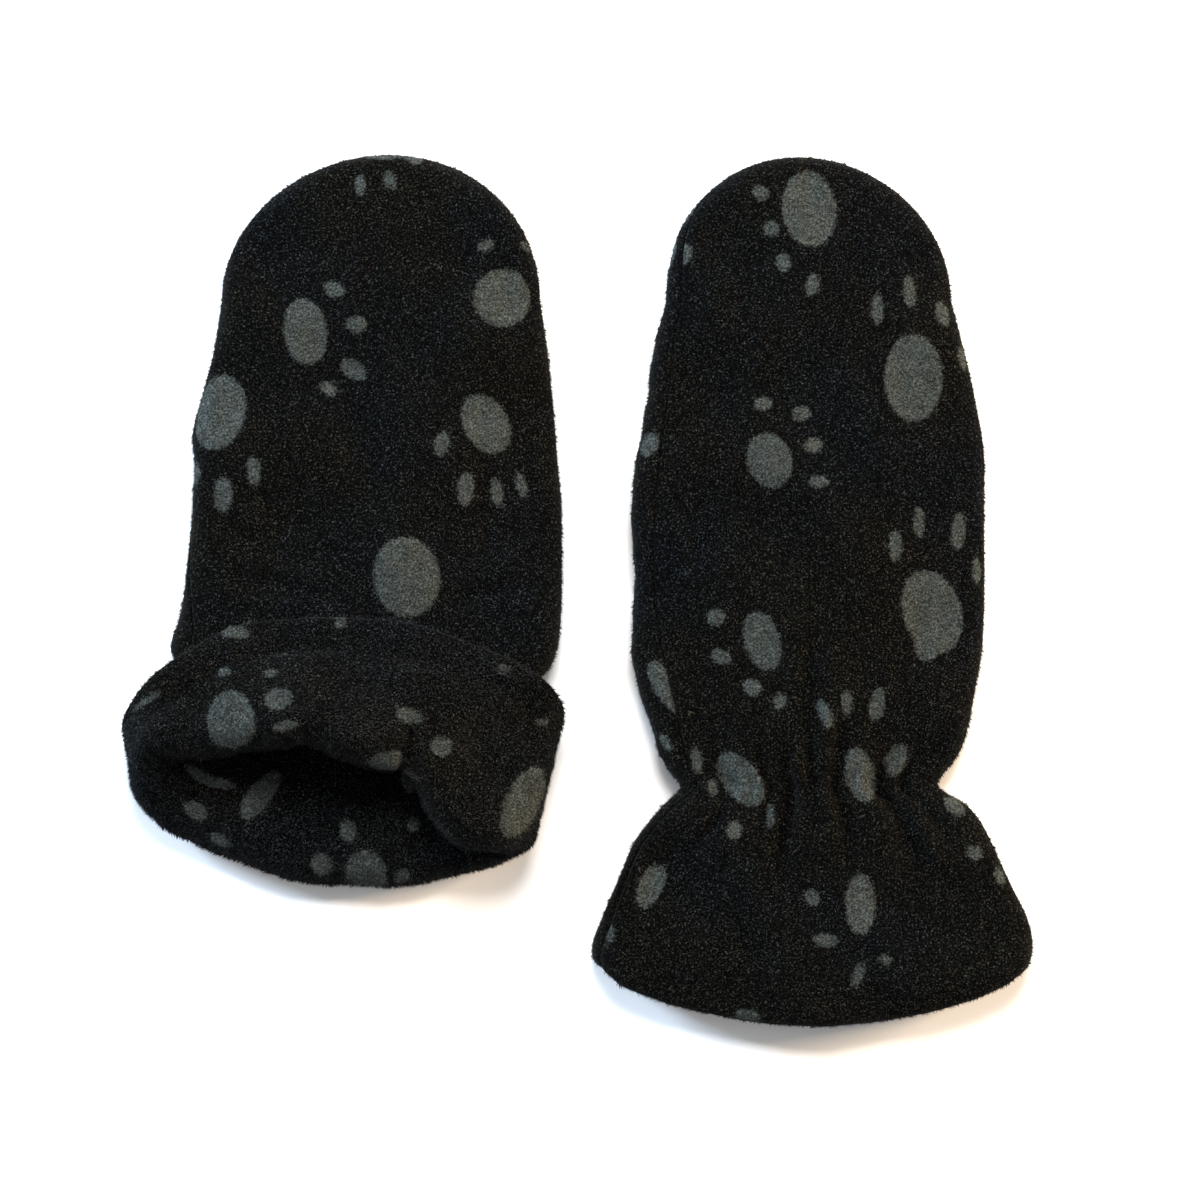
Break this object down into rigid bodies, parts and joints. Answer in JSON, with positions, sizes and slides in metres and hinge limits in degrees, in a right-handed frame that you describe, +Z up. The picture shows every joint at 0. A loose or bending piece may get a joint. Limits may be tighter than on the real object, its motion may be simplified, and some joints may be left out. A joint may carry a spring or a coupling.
{
  "type": "pair of baby mittens",
  "caption": "Pair of thumbless fleece mittens with rounded tips, gathered wrists and flared cuffs, laid flat; one cuff is turned back.",
  "frame": {"origin": "on the surface that the pair lies on, under the middle of its bounding box", "axes": "+Z up off the surface, +Y towards the mittens' tips, +X towards the closed mitten"},
  "size_m": [0.1772, 0.1713, 0.0244],
  "materials": {
    "shell_fleece": "brushed fleece, near-black with grey-green paw prints",
    "lining_fleece": "brushed fleece, near-black with grey-green paw prints"
  },
  "bodies": {
    "root": {"left_front": "shell_fleece", "left_back": "shell_fleece", "left_cuff_lining_front": "lining_fleece", "left_cuff_lining_back": "lining_fleece", "right_front": "shell_fleece", "right_back": "shell_fleece"}
  },
  "joints": []
}
